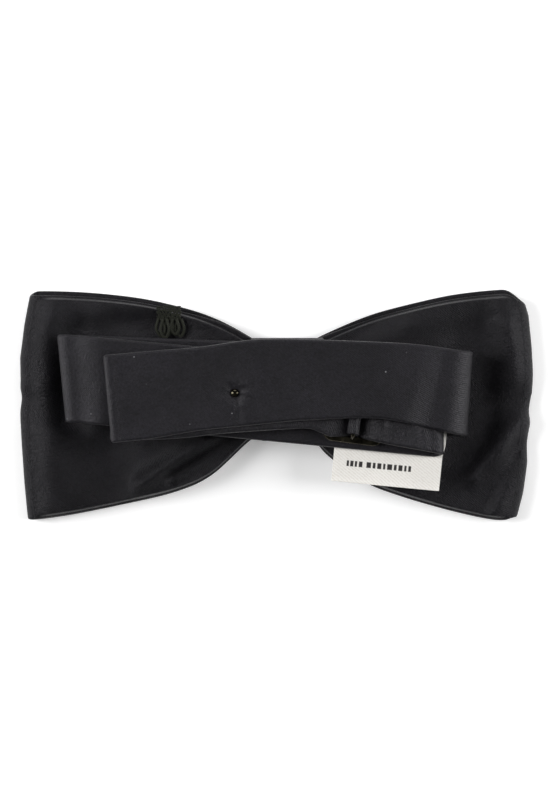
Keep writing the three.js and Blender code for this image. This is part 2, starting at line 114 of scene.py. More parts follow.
def stations(node, low_z=-1e9, high_z=1e9, steps=120):
    """The middle of a flat run at cross-sections along x: x, y and z arrays, in millimetres."""
    mesh = frame["nodes"][node].data
    points = np.empty(len(mesh.vertices) * 3)
    mesh.vertices.foreach_get("co", points)
    points = points.reshape(-1, 3) / MM
    edges = np.empty(len(mesh.edges) * 2, dtype=int)
    mesh.edges.foreach_get("vertices", edges)
    a, b = points[edges[0::2]], points[edges[1::2]]
    found = []
    for x in np.linspace(points[:, 0].min() + 0.05, points[:, 0].max() - 0.05, steps):
        crossing = (a[:, 0] - x) * (b[:, 0] - x) < 0
        share = (x - a[crossing, 0]) / (b[crossing, 0] - a[crossing, 0])
        here = a[crossing] + (b[crossing] - a[crossing]) * share[:, None]
        here = here[(here[:, 2] >= low_z) & (here[:, 2] <= high_z)]
        if len(here):
            low, high = here.min(0), here.max(0)
            found.append((x, (low[1] + high[1]) / 2, (low[2] + high[2]) / 2))
    return np.array(found).T


# ---- making meshes ----


def new_object(name, vertices, faces, material, smooth_faces=True):
    mesh = bpy.data.meshes.new(name)
    mesh.from_pydata([tuple(v) for v in np.asarray(vertices) * MM], [], faces)
    mesh.validate()
    mesh.update()
    mesh.materials.append(material)
    for polygon in mesh.polygons:
        polygon.use_smooth = smooth_faces
    obj = bpy.data.objects.new(name, mesh)
    bpy.context.scene.collection.objects.link(obj)
    return obj


def ring_loft(name, rings, material, closed=False):
    """Joins rings of points, all with as many points, into a closed surface."""
    rings = np.asarray(rings)
    count, size = rings.shape[:2]
    vertices = rings.reshape(-1, 3)
    faces = []
    for i in range(count if closed else count - 1):
        a, b = i * size, (i + 1) % count * size
        for j in range(size):
            k = (j + 1) % size
            faces.append((a + j, a + k, b + k, b + j))
    if not closed:
        faces.append(tuple(range(size))[::-1])
        faces.append(tuple((count - 1) * size + j for j in range(size)))
    made = new_object(name, vertices, faces, material)
    for polygon in made.data.polygons[len(faces) if closed else -2 :]:
        polygon.use_smooth = False
    return made


def flat_section(across_steps, edge_steps=4):
    """A flat section's outline: across from -1 to 1, and through from -1 to 1, round at its edges."""
    across = [
        EDGE_CROWDING * -math.cos(math.pi * j / across_steps) + (1 - EDGE_CROWDING) * (2 * j / across_steps - 1)
        for j in range(across_steps + 1)
    ]
    outline = [(at, -1.0, 0.0) for at in across]
    for j in range(1, edge_steps):
        turn = math.pi * j / edge_steps
        outline.append((1.0, -math.cos(turn), math.sin(turn)))
    outline += [(at, 1.0, 0.0) for at in across[::-1]]
    for j in range(1, edge_steps):
        turn = math.pi * j / edge_steps
        outline.append((-1.0, math.cos(turn), -math.sin(turn)))
    return np.array(outline)


def cloth_strip(
    name, path, edges, thick, material, relief=None, across_steps=48, soft_ends=(True, True), lean=None
):
    """A strip of cloth. path is x and z of its middle, edges its low and high y at each point of it.

    relief(x, y, s) is how far the cloth stands off its path, and s the length along the path.
    lean is how far the strip's high edge is shifted in x at each point, and its low edge the other way.
    """
    path, edges = np.asarray(path, float), np.asarray(edges, float)
    run = np.gradient(path, axis=0)
    run /= np.linalg.norm(run, axis=1)[:, None]
    length = np.concatenate([[0], np.cumsum(np.linalg.norm(np.diff(path, axis=0), axis=1))])
    section = flat_section(across_steps)
    rings = []
    for i, ((x, z), (low, high)) in enumerate(zip(path, edges)):
        fromend = min(
            length[i] if soft_ends[0] else 1e9,
            length[-1] - length[i] if soft_ends[1] else 1e9,
        )
        half = thick / 2 * math.sqrt(max(1 - max(1 - fromend / (thick / 2), 0) ** 2, 0.02))
        share = (section[:, 0] + 1) / 2
        y = low + (high - low) * share + section[:, 2] * half
        off = section[:, 1] * half
        if relief is not None:
            off = off + relief(np.full_like(y, x), y, np.full_like(y, length[i]))
        normal_x, normal_z = -run[i][1], run[i][0]
        shift = 0.0 if lean is None else lean[i] * section[:, 0]
        rings.append(np.stack([x + shift + normal_x * off, y, z + normal_z * off], axis=1))
    return ring_loft(name, rings, material)


def tube(name, points, radius, material, sides=10, closed=False):
    """A round thread or bar along points, in millimetres."""
    points = np.asarray(points, float)
    if closed:
        run = np.roll(points, -1, 0) - np.roll(points, 1, 0)
    else:
        run = np.gradient(points, axis=0)
    run /= np.linalg.norm(run, axis=1)[:, None]
    side = np.cross(run[0], (0.3, 0.2, 1.0))
    rings = []
    for i, point in enumerate(points):
        side = side - run[i] * side.dot(run[i])
        side /= np.linalg.norm(side)
        up = np.cross(run[i], side)
        turn = np.linspace(0, 2 * math.pi, sides, endpoint=False)[:, None]
        rings.append(point + radius * (np.cos(turn) * side + np.sin(turn) * up))
    return ring_loft(name, rings, material, closed)


def spline(points, steps):
    """A smooth curve through points (Catmull-Rom), as steps + 1 points."""
    points = np.asarray(points, float)
    padded = np.vstack([2 * points[0] - points[1], points, 2 * points[-1] - points[-2]])
    found = []
    for t in np.linspace(0, len(points) - 1 - 1e-9, steps + 1):
        i, u = int(t), t - int(t)
        a, b, c, d = padded[i : i + 4]
        found.append(
            0.5 * (2 * b + (c - a) * u + (2 * a - 5 * b + 4 * c - d) * u**2 + (3 * b - a - 3 * c + d) * u**3)
        )
    return np.array(found)


def through(points, x):
    """The height at x of a smooth outline through points, which lie in order of x."""
    points = np.asarray(points, float)
    dense = spline(points, 12 * len(points))
    return np.interp(x, dense[:, 0], dense[:, 1])


def declare_strip(path, edges):
    """Works out the length of each step along a strip's path, and keeps none of it."""
    path, edges = np.asarray(path, float), np.asarray(edges, float)
    step = np.linalg.norm(np.diff(path, axis=0), axis=1)


# ---- materials ----


def material(name):
    made = bpy.data.materials.new(name)
    made.use_nodes = True
    nodes, links = made.node_tree.nodes, made.node_tree.links
    return made, nodes, links, nodes["Principled BSDF"]


def add(nodes, kind, **values):
    node = nodes.new(kind)
    for key, value in values.items():
        if key in node.inputs:
            node.inputs[key].default_value = value
        else:
            setattr(node, key, value)
    return node


def ramp(nodes, stops):
    node = nodes.new("ShaderNodeValToRGB")
    while len(node.color_ramp.elements) < len(stops):
        node.color_ramp.elements.new(0.5)
    for element, (position, colour) in zip(node.color_ramp.elements, stops):
        element.position = position
        element.color = (*colour, 1.0)
    return node


def weave_height(nodes, links, threads_per_mm, turn=0.0):
    """A satin weave's height: fine diagonal ribs broken up by floats, in the object's own space."""
    place = nodes.new("ShaderNodeTexCoord")
    turned = add(nodes, "ShaderNodeMapping")
    turned.inputs["Rotation"].default_value = (0, 0, turn)
    links.new(place.outputs["Object"], turned.inputs["Vector"])
    scale = threads_per_mm * 1000 / math.pi
    ribs = add(nodes, "ShaderNodeTexWave", Scale=scale, Distortion=3.0, Detail=2.0)
    ribs.inputs["Detail Scale"].default_value = 2.0
    ribs.bands_direction = "DIAGONAL"
    floats = add(nodes, "ShaderNodeTexVoronoi", Scale=threads_per_mm * 900)
    links.new(turned.outputs["Vector"], ribs.inputs["Vector"])
    links.new(turned.outputs["Vector"], floats.inputs["Vector"])
    both = add(nodes, "ShaderNodeMath", operation="MULTIPLY_ADD")
    both.inputs[1].default_value = 0.6
    links.new(floats.outputs["Distance"], both.inputs[0])
    links.new(ribs.outputs["Fac"], both.inputs[2])
    return both.outputs[0], turned.outputs["Vector"]


def satin(name, base, light, roughness, grain=1.0, lint=False, turn=0.0, specular=0.28):
    """Near-black satin: weave, uneven threads, slow shade changes, and lint where it is asked for."""
    made, nodes, links, shader = material(name)
    height, place = weave_height(nodes, links, 3.6, turn)
    slow = add(nodes, "ShaderNodeTexNoise", Scale=60.0, Detail=4.0, Roughness=0.55)
    links.new(place, slow.inputs["Vector"])
    shade = ramp(nodes, [(0.3, base), (0.75, light)])
    links.new(slow.outputs["Fac"], shade.inputs["Fac"])
    slubs = add(nodes, "ShaderNodeTexNoise", Scale=2100.0, Detail=2.0, Roughness=0.7)
    links.new(place, slubs.inputs["Vector"])
    thread_shade = ramp(nodes, [(0.3, (0.15, 0.15, 0.16)), (0.7, (2.5, 2.46, 2.6))])
    links.new(slubs.outputs["Fac"], thread_shade.inputs["Fac"])
    threads = add(nodes, "ShaderNodeMix", data_type="RGBA", blend_type="MULTIPLY")
    threads.inputs["Factor"].default_value = 0.8
    links.new(shade.outputs["Color"], threads.inputs["A"])
    links.new(thread_shade.outputs["Color"], threads.inputs["B"])
    colour = threads.outputs["Result"]
    if lint:
        specks = add(nodes, "ShaderNodeTexVoronoi", Scale=330.0)
        links.new(place, specks.inputs["Vector"])
        spots = ramp(nodes, [(0.03, (1, 1, 1)), (0.075, (0, 0, 0))])
        links.new(specks.outputs["Distance"], spots.inputs["Fac"])
        where = add(nodes, "ShaderNodeTexNoise", Scale=70.0, Detail=1.0)
        links.new(place, where.inputs["Vector"])
        some = ramp(nodes, [(0.49, (0, 0, 0)), (0.54, (1, 1, 1))])
        links.new(where.outputs["Fac"], some.inputs["Fac"])
        both = add(nodes, "ShaderNodeMath", operation="MULTIPLY")
        links.new(spots.outputs["Color"], both.inputs[0])
        links.new(some.outputs["Color"], both.inputs[1])
        flecks = add(nodes, "ShaderNodeMix", data_type="RGBA")
        flecks.inputs["B"].default_value = (0.22, 0.22, 0.23, 1)
        links.new(both.outputs[0], flecks.inputs["Factor"])
        links.new(colour, flecks.inputs["A"])
        colour = flecks.outputs["Result"]
    links.new(colour, shader.inputs["Base Color"])
    gloss = ramp(nodes, [(0.3, (roughness - 0.04,) * 3), (0.75, (roughness + 0.06,) * 3)])
    links.new(slow.outputs["Fac"], gloss.inputs["Fac"])
    links.new(gloss.outputs["Color"], shader.inputs["Roughness"])
    shader.inputs["Specular IOR Level"].default_value = specular
    shader.inputs["Specular Tint"].default_value = (0.97, 0.95, 1.0, 1)
    shader.inputs["Sheen Weight"].default_value = 0.005
    shader.inputs["Sheen Roughness"].default_value = 0.4
    fine = add(nodes, "ShaderNodeBump", Strength=0.5 * grain, Distance=0.00008)
    links.new(height, fine.inputs["Height"])
    uneven = add(nodes, "ShaderNodeBump", Strength=0.7 * grain, Distance=0.00026)
    links.new(slubs.outputs["Fac"], uneven.inputs["Height"])
    links.new(fine.outputs["Normal"], uneven.inputs["Normal"])
    creases = add(nodes, "ShaderNodeTexNoise", Scale=130.0, Detail=3.0, Distortion=0.6)
    links.new(place, creases.inputs["Vector"])
    crumple = add(nodes, "ShaderNodeBump", Strength=0.35, Distance=0.0006)
    links.new(creases.outputs["Fac"], crumple.inputs["Height"])
    links.new(uneven.outputs["Normal"], crumple.inputs["Normal"])
    links.new(crumple.outputs["Normal"], shader.inputs["Normal"])
    return made


def lining_cloth():
    """Pale stiff interlining with an open weave."""
    made, nodes, links, shader = material("lining_cloth")
    height, place = weave_height(nodes, links, 1.4)
    shade = ramp(nodes, [(0.2, (0.5, 0.48, 0.44)), (0.9, (0.72, 0.7, 0.66))])
    links.new(height, shade.inputs["Fac"])
    links.new(shade.outputs["Color"], shader.inputs["Base Color"])
    shader.inputs["Roughness"].default_value = 0.9
    rough = add(nodes, "ShaderNodeBump", Strength=0.6, Distance=0.0002)
    links.new(height, rough.inputs["Height"])
    links.new(rough.outputs["Normal"], shader.inputs["Normal"])
    return made


def sewing_thread(name, dark, light):
    """Twisted thread: fine diagonal plies."""
    made, nodes, links, shader = material(name)
    place = nodes.new("ShaderNodeTexCoord")
    plies = add(nodes, "ShaderNodeTexWave", Scale=1500.0, Distortion=0.6)
    plies.bands_direction = "DIAGONAL"
    links.new(place.outputs["Object"], plies.inputs["Vector"])
    shade = ramp(nodes, [(0.1, dark), (0.9, light)])
    links.new(plies.outputs["Fac"], shade.inputs["Fac"])
    links.new(shade.outputs["Color"], shader.inputs["Base Color"])
    shader.inputs["Roughness"].default_value = 0.7
    shader.inputs["Specular IOR Level"].default_value = 0.25
    shader.inputs["Sheen Weight"].default_value = 0.01
    twist = add(nodes, "ShaderNodeBump", Strength=0.7, Distance=0.0001)
    links.new(plies.outputs["Fac"], twist.inputs["Height"])
    links.new(twist.outputs["Normal"], shader.inputs["Normal"])
    return made


def plated_metal(name, dark, light, roughness):
    """Gunmetal plate: brushed, with patches where it has rubbed brighter."""
    made, nodes, links, shader = material(name)
    place = nodes.new("ShaderNodeTexCoord")
    patches = add(nodes, "ShaderNodeTexNoise", Scale=420.0, Detail=5.0, Roughness=0.6)
    links.new(place.outputs["Object"], patches.inputs["Vector"])
    shade = ramp(nodes, [(0.35, dark), (0.7, light)])
    links.new(patches.outputs["Fac"], shade.inputs["Fac"])
    links.new(shade.outputs["Color"], shader.inputs["Base Color"])
    shader.inputs["Metallic"].default_value = 1.0
    gloss = ramp(nodes, [(0.3, (roughness - 0.08,) * 3), (0.7, (roughness + 0.12,) * 3)])
    links.new(patches.outputs["Fac"], gloss.inputs["Fac"])
    links.new(gloss.outputs["Color"], shader.inputs["Roughness"])
    scratches = add(nodes, "ShaderNodeTexNoise", Scale=2200.0, Detail=2.0)
    links.new(place.outputs["Object"], scratches.inputs["Vector"])
    brushed = add(nodes, "ShaderNodeBump", Strength=0.2, Distance=0.00005)
    links.new(scratches.outputs["Fac"], brushed.inputs["Height"])
    links.new(brushed.outputs["Normal"], shader.inputs["Normal"])
    return made


SATIN_WING = satin("satin_wing", (0.0014, 0.0014, 0.0018), (0.0034, 0.0032, 0.0041), 0.42, 1.25, specular=0.2)
SATIN_BAND = satin("satin_band", (0.003, 0.0029, 0.0036), (0.0056, 0.0053, 0.0068), 0.43, turn=0.5)
SATIN_TOP = satin("satin_top_run", (0.0036, 0.0035, 0.0042), (0.0064, 0.006, 0.0078), 0.45, 0.8, True, -0.1)
LINING = lining_cloth()
THREAD = sewing_thread("black_thread", (0.006, 0.006, 0.007), (0.03, 0.029, 0.032))
LOOSE_THREAD = sewing_thread("olive_black_thread", (0.003, 0.0035, 0.0018), (0.014, 0.016, 0.008))
GUNMETAL = plated_metal("gunmetal", (0.012, 0.0105, 0.007), (0.11, 0.1, 0.07), 0.2)

# ---- wings ----

# The wings' edges, from the knot outward: distance from the middle of the bow, and height.
LEFT_TOP = [
    (2.6, 13.4), (5.6, 15.2), (10.3, 17.9), (15, 20.1), (21, 22.1), (31.6, 24.5), (44, 25.8), (57.4, 26.2),
    (60, 25.6),
]
LEFT_BOTTOM = [
    (2.6, -5.2), (6.9, -8.4), (15.2, -15.9), (23.5, -19.7), (35.6, -22.6), (48, -24.9), (58.1, -26.2), (60, -26.0),
]
RIGHT_TOP = [(8, 14), (10.8, 15.8), (20.3, 19.9), (28.5, 22.4), (40.6, 25.1), (52.9, 26.4), (57, 26.2), (60, 23.6)]
RIGHT_BOTTOM = [(8, -5.2), (11.5, -10.6), (20.3, -17.1), (28.5, -20.5), (40.6, -23.9), (55, -26.3), (60, -25.6)]

# Where each wing's end lies at heights from the bottom up.
WING_END = {
    -1: [
        (-26.5, 58.0), (-18, 58.8), (-9.2, 59.4), (-2, 59.8), (3.8, 60), (6, 59.7), (11.1, 59.8), (19, 58.8),
        (26.5, 57.4),
    ],
    1: [
        (-26.5, 56.2), (-20, 57.8), (-13.4, 58.7), (-2.4, 58.8), (1, 59.6), (2.9, 60), (13.2, 59.7), (21, 59.0),
        (26.5, 57.4),
    ],
}

# Folds that run out of the knot: direction in degrees, how far out they start and end, width, height.
LEFT_FOLDS = [
    (197, 10, 40, 2.2, 0.4),
    (208, 8, 40, 2.2, 0.7),
    (236, 6, 26, 1.8, -0.6),
    (171, 12, 40, 2.4, 0.3),
    (156, 8, 40, 2.6, 0.4),
    (146, 8, 34, 1.8, -0.4),
]
RIGHT_FOLDS = [
    (-16, 10, 40, 2.6, 0.5),
    (-29, 8, 46, 3.0, 0.9),
    (-40, 8, 40, 2.2, -0.8),
    (-50, 7, 34, 2.2, 0.8),
    (12, 12, 46, 2.6, 0.3),
    (26, 8, 50, 2.8, 0.8),
    (37, 8, 40, 2.0, -0.6),
]

DEEPEST_CREASE = 1.0                # so that a crease stays clear of the lining

# Creases on the back of a wing: x and y of both ends, width, height.
LEFT_CREASES = [
    (-14, -7.5, -33, -19, 2.3, 1.5),
    (-9, -8, -25, -17.5, 1.7, -1.2),
    (-39, -7, -35, -20, 4.2, -1.3),
    (-52, -4, -47, -24, 4.5, 0.8),
    (-60, 3, -49, -5, 2.2, -0.5),
    (-54, 26, -54, -27, 3.6, 1.1),
    (-46.5, 20, -46.5, -5, 4.0, -1.4),
    (-40, 19, -22, 17.5, 3.5, -0.9),
    (-55, 20, -30, 22.5, 3.0, 0.4),
]
RIGHT_CREASES = [
    (59, -2.5, 46, -18, 2.2, 1.2),
    (56, 3, 43, -14, 3.2, -1.2),
    (54.5, 26, 54.5, -27, 3.8, 1.3),
    (45, 20, 46, -4, 5.0, -1.5),
    (46, -4, 38, -16, 4.0, -0.9),
    (58, -8, 51, -24, 2.0, -0.7),
    (54, 20, 57, 6, 2.6, 0.7),
    (30, 19, 46, 21, 3.5, 0.5),
]


def knot_middle():
    return middle("knot_wrap")


def radiating(folds, x, y, out):
    """Height of the folds at x, y. out is 0 in the knot and 1 at the wing's end."""
    knot_x, knot_y, _ = knot_middle()
    dx, dy = x - knot_x, (y - knot_y)
    far = np.hypot(dx, dy)
    angle = np.degrees(np.arctan2(dy, dx))
    total = np.zeros_like(x)
    for degrees, start, end, width, height in folds:
        off = (angle - degrees + 180) % 360 - 180
        side = far * np.radians(np.clip(off, -60, 60))
        spread = width * (0.55 + far / 55)
        along = smooth((far - start) / 7) * (1 - smooth((far - end * 0.5) / (end * 0.5)))
        total += height * along * bump(side, 0, spread)
    return total * smooth(out * 14)


def creased_by(lines, x, y):
    """Height of straight creases at x, y, each fading out at its ends."""
    total = np.zeros_like(x)
    for x0, y0, x1, y1, width, height in lines:
        length = math.hypot(x1 - x0, y1 - y0)
        run_x, run_y = (x1 - x0) / length, (y1 - y0) / length
        along = (x - x0) * run_x + (y - y0) * run_y
        across = (y - y0) * run_x - (x - x0) * run_y
        fade = smooth((along + width) / (2 * width)) * smooth((length + width - along) / (2 * width))
        total += height * fade * bump(across, 0, width)
    return np.where(total < 0, DEEPEST_CREASE * np.tanh(total / DEEPEST_CREASE), total)


def wing(name, side, top, bottom, folds, creases, nodes):
    """A wing: one strip of cloth that leaves the knot at the back, turns at its end and comes back in front."""
    knot_x = knot_middle()[0]
    start = abs(knot_x + side * 0.4 * (box("knot_wrap")[1][0] - box("knot_wrap")[0][0]))
    front_high = box(nodes[0])[1]
    back_low, back_high = box(nodes[1])
    end = max(abs(back_low[0]), abs(back_high[0]))
    pinch_top, pinch_low = back_high[2], front_high[2]
    end_low, end_high = WING_CLOTH / 2, 3.7 - WING_CLOTH / 2
    radius = (end_high - end_low) / 2
    flat_end = end - radius - WING_CLOTH / 2
    steps = 150
    out = np.sin(np.linspace(0, 1, steps) * math.pi / 2)
    reach = start + (flat_end - start) * out
    back_z = np.interp(
        out, [0, 0.12, 0.3, 0.5, 0.75, 1], [pinch_top - WING_CLOTH / 2, 6.3, 5.7, 5.2, 4.4, end_high]
    )
    back_z = np.convolve(np.pad(back_z, 6, mode="edge"), np.ones(13) / 13, mode="valid")
    front_z = end_low + (pinch_low - WING_CLOTH) * (1 - smooth((reach - start) / 27))
    turn = np.linspace(math.pi / 2, -math.pi / 2, 17)[1:-1]
    turn_x = flat_end + radius * np.cos(turn)
    turn_z = end_low + radius + radius * np.sin(turn)
    xs = np.concatenate([reach, turn_x, reach[::-1]])
    zs = np.concatenate([back_z, turn_z, front_z[::-1]])
    order = np.concatenate([np.zeros(steps), np.linspace(0, 1, len(turn)), np.ones(steps)])
    high = through(top, np.minimum(xs, top[-1][0])) + order * 0.25
    low = through(bottom, np.minimum(xs, bottom[-1][0])) - order * 0.15
    high = high - (1 - order) * 0.8 * smooth((xs - 8) / 14)

    def relief(x, y, s):
        out_x = np.abs(x)
        away = (out_x - start) / (flat_end - start)
        at_back = 1 - smooth((s - length_back) / 6)
        inside = 1 - smooth((away - 0.93) / 0.07)
        fold = radiating(folds, x, y, away)
        ripple = 0.1 * np.sin(y * 0.42 + x * 0.11) * smooth(away * 3)
        margin = np.minimum(through(top, out_x) - 0.9 - y, y - through(bottom, out_x))
        closed = (1 - smooth(margin / 0.5)) * np.interp(out_x, reach, back_z - front_z - WING_CLOTH)
        back = 1.3 * creased_by(creases, x, y) + (fold + ripple - 0.8 * closed) * inside
        front = 0.35 * np.maximum(fold, 0) * inside
        kink = 0.35 * bump(y, 2, 2.5) * bump(away, 1.0, 0.12)
        return side * ((back - kink) * at_back - front * (1 - at_back))

    ends = np.array(WING_END[side])

    def shape_end(points):
        drawn_in = 60 - np.interp(points[:, 1], ends[:, 0], ends[:, 1])
        points[:, 0] -= side * drawn_in * smooth((np.abs(points[:, 0]) - 34) / 26)
        points[:, 2] = np.maximum(points[:, 2], ABOVE_FLOOR)
        return points

    path = np.stack([side * xs, zs], axis=1)
    length_back = float(np.linalg.norm(np.diff(path[:steps], axis=0), axis=1).sum())
    edges = np.stack([low, high], axis=1)
    made = cloth_strip(name, path, edges, WING_CLOTH, SATIN_WING, relief, 100)
    move_points(made, shape_end)
    fix_normals(made)
    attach(made, "bow")
    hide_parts(*nodes)
    declare_strip(path, edges)
    return made


def move_points(obj, shape):
    """Puts every vertex where shape puts it; shape takes and gives millimetres."""
    points = np.empty(len(obj.data.vertices) * 3)
    obj.data.vertices.foreach_get("co", points)
    moved = shape(points.reshape(-1, 3) / MM) * MM
    obj.data.vertices.foreach_set("co", moved.ravel())
    obj.data.update()


def fix_normals(obj):
    made = bmesh.new()
    made.from_mesh(obj.data)
    bmesh.ops.recalc_face_normals(made, faces=made.faces)
    made.to_mesh(obj.data)
    made.free()


wing("bow_wing_left", -1, LEFT_TOP, LEFT_BOTTOM, LEFT_FOLDS, LEFT_CREASES, ("wing_front_left", "wing_back_left"))
wing(
    "bow_wing_right", 1, RIGHT_TOP, RIGHT_BOTTOM, RIGHT_FOLDS, RIGHT_CREASES,
    ("wing_front_right", "wing_back_right"),
)

# ---- knot ----


def knot():
    """The band of cloth round the middle of the bow, with soft pleats along it."""
    low, high = box("knot_wrap")
    centre = (low + high) / 2
    half_y, half_z = (high[1] - low[1]) / 2, (high[2] - low[2]) / 2
    wall = 0.7
    around, along = 120, 40
    rings = []
    for i in range(around):
        turn = 2 * math.pi * i / around
        c, s = math.cos(turn), math.sin(turn)
        power = 0.36
        y = math.copysign(abs(c) ** power, c) * (half_y - wall / 2)
        z = math.copysign(abs(s) ** power, s) * (half_z - wall / 2)
        out = np.array([0, c, s])
        section = flat_section(along, 4)
        ring = []
        for across, side, edge in section:
            x = centre[0] + across * (high[0] - low[0]) / 2 * (1 - 0.03 * abs(s)) + edge * wall / 2 * 0.9
            front = smooth(-s * 2)
            pleat = 0.28 * math.sin(across * 7 + 0.6 * math.sin(3 * turn)) * front
            crown = 0.3 * (1 - across**2) * front - 0.3
            off = side * wall / 2 + pleat * 0.5 + crown * 0.6
            ring.append((x, centre[1] + y + out[1] * off, centre[2] + z + out[2] * off))
        rings.append(ring)
    made = ring_loft("knot_cover", rings, SATIN_BAND, closed=True)
    fix_normals(made)
    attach(made, "bow")
    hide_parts("knot_wrap")


knot()

# ---- the neckband's runs ----


def straight_between(node, low_z, high_z):
    """Straight middle line of a flat run: its slope and height in plan, and its z."""
    x, y, z = stations(node, low_z, high_z)
    slope, level = np.polyfit(x, y, 1)
    return (lambda at: level + slope * at), float(np.median(z)), (x.min(), x.max())


def creased(strength, seed, length=7.0):
    """Soft unevenness of a pressed band: long shallow waves."""
    draw = random.Random(seed)
    waves = [
        (
            draw.uniform(0.5, 1.6) * math.pi / length, draw.uniform(-0.35, 0.35), draw.uniform(0, 6.3),
            draw.uniform(0.4, 1),
        )
        for _ in range(5)
    ]

    def relief(x, y, s):
        total = sum(size * np.sin(rate * x + lean * y + phase) for rate, lean, phase, size in waves)
        return strength * total / 5

    return relief


# The top run's edges as it lies: x and y, from its free end to its fold.
TOP_RUN_HIGH = [(-41, 10.9), (-39.3, 11.1), (-27.4, 12.2), (-17.7, 13.0), (-8, 14.4), (-1.8, 14.85), (8, 14.75),
                (23.3, 14.2), (32.4, 13.6), (40, 12.5), (46, 11.4)]
TOP_RUN_LOW = [(-41, -8.3), (-39.3, -8.1), (-29.3, -7.1), (-17.7, -5.2), (-6.9, -4.1), (3.1, -3.1), (9.9, -2.7),
               (18.5, -2.35), (26.4, -2.7), (35.7, -4.6), (40, -5.5), (46, -6.6)]
TOP_RUN_LEAN = [(-39, -0.9), (-25, -0.3), (20, 0.0), (32, 0.5), (45, 1.3)]
LEFT_FOLD_LEAN = [(-50, -0.95), (-30, 0.0)]


def main_band():
    """One length of cloth: middle run, left fold, run through the knot, outer fold and top run."""
    low, high = box("band_lower_runs")
    split = (low[2] + high[2]) / 2
    under_y, under_z, _ = straight_between("band_lower_runs", low[2] - 1, split)
    middle_y, middle_z, _ = straight_between("band_lower_runs", split, high[2] + 1)
    top_low, top_high = box("band_top_run")
    top_z = (top_low[2] + top_high[2]) / 2
    stud_x, stud_y, _ = middle("closure_stud")
    left_radius = (middle_z - under_z) / 2
    left = low[0] + left_radius + BAND_THICK / 2
    right_inner = box("band_inner_fold")[0][0]
    right_outer = box("band_outer_fold")[0][0]
    radius = (top_z - under_z) / 2
    bulge = 4.7 / radius

    def edges_of(centre, x, half=BAND_WIDTH / 2):
        return np.stack([centre(x) - half, centre(x) + half], axis=1)

    top_edges = lambda x: np.stack([through(TOP_RUN_LOW, x), through(TOP_RUN_HIGH, x)], axis=1)
    left_lean = lambda x: np.interp(x, *zip(*LEFT_FOLD_LEAN))
    top_lean = lambda x: np.interp(x, *zip(*TOP_RUN_LEAN))

    droop_left, droop_right = 1.4, 1.7
    middle_x = np.linspace(right_inner, left, 70)
    turn = np.linspace(0, math.pi, 17)[1:-1]
    left_x = left - left_radius * 1.1 * np.sin(turn)
    left_z = (under_z + middle_z) / 2 + left_radius * np.cos(turn)
    left_z = left_z - droop_left * (left_z - under_z) / (middle_z - under_z)
    under_x = np.linspace(left, right_outer, 70)
    arc = np.linspace(-math.pi / 2, math.pi / 2, 34)[1:-1]
    arc_x = right_outer + radius * bulge * np.cos(arc)
    arc_z = (under_z + top_z - droop_right) / 2 + (radius - droop_right / 2) * np.sin(arc)
    top_x = np.linspace(right_outer, top_low[0], 190)

    x = np.concatenate([middle_x, left_x, under_x, arc_x, top_x])
    z = np.concatenate([
        middle_z - droop_left * (1 - smooth((middle_x - left) / 6.5)), left_z, np.full(70, under_z), arc_z,
        top_z - droop_right * smooth((top_x - 24) / 17),
    ])
    share = (arc / math.pi + 0.5)[:, None]
    at_fold = np.full(len(arc), right_outer)
    left_edges = edges_of(middle_y, np.full(len(turn), left))
    edges = np.concatenate([
        edges_of(middle_y, middle_x), left_edges, edges_of(under_y, under_x),
        edges_of(under_y, at_fold) * (1 - share) + top_edges(arc_x) * share, top_edges(top_x),
    ])
    lean = np.concatenate([
        left_lean(middle_x), left_lean(left_x), left_lean(under_x), top_lean(arc_x) * share[:, 0], top_lean(top_x),
    ])
    length = np.concatenate([[0], np.cumsum(np.hypot(np.diff(x), np.diff(z)))])
    top_start = length[len(x) - len(top_x)]
    uneven = creased(0.16, 11, 12)
    uneven_low = creased(0.16, 3)

    def relief(px, py, s):
        top = smooth((s - top_start) / 3)
        far = np.hypot(px - stud_x, py - stud_y)
        dimple = -0.5 * np.exp(-((far / 1.7) ** 2)) + 0.14 * np.exp(-(((far - 3.1) / 1.2) ** 2))
        rays = 0.07 * np.cos(7 * np.arctan2(py - stud_y, px - stud_x)) * bump(far, 2.6, 1.3)
        pull = -0.2 * bump(px, stud_x + 0.8, 0.9) * smooth((stud_y - py) / 3 + 0.2)
        end_roll = 0.3 * bump(px, top_low[0] + 1.4, 1.1)
        right_rise = 0.3 * bump(px, 31 + 0.25 * py, 3.0) - 0.25 * bump(px, 37 + 0.25 * py, 2.6)
        up = uneven(px, py, s) + dimple + rays + pull + end_roll + right_rise
        return -up * top + uneven_low(px, py, s) * (1 - top)

    path = np.stack([x, z], axis=1)
    made = cloth_strip(
        "neckband_main", path, edges, BAND_THICK, SATIN_TOP, relief, 84, soft_ends=(False, True), lean=lean
    )
    fix_normals(made)
    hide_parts("band_lower_runs", "band_outer_fold", "band_top_run")
    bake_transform(made)
    declare_strip(path, edges)


# The lower edge of the run through the slider: x and y, from its free end to the inner fold.
SLIDER_RUN_LOW = [(-40, -7.7), (-38, -7.6), (-23.3, -7.1), (-13.7, -6.05), (-6.9, -5.5), (3.1, -4.9), (8.5, -4.8),
                  (11.5, -5.7), (13.8, -6.6), (18.5, -6.7), (21.9, -7.3), (29.3, -8.9), (35.2, -10.1), (40, -10.9)]
# Folds of the gathered cloth in the slider: place along the band, width, height.
GATHER_FOLDS = ((17.6, 1.2, 0.12), (20.0, 1.0, -0.5), (23.5, 1.6, 0.12), (26.2, 0.8, -0.4))
SLIDER_RUN_HALF = 8.8               # from its middle to its upper edge


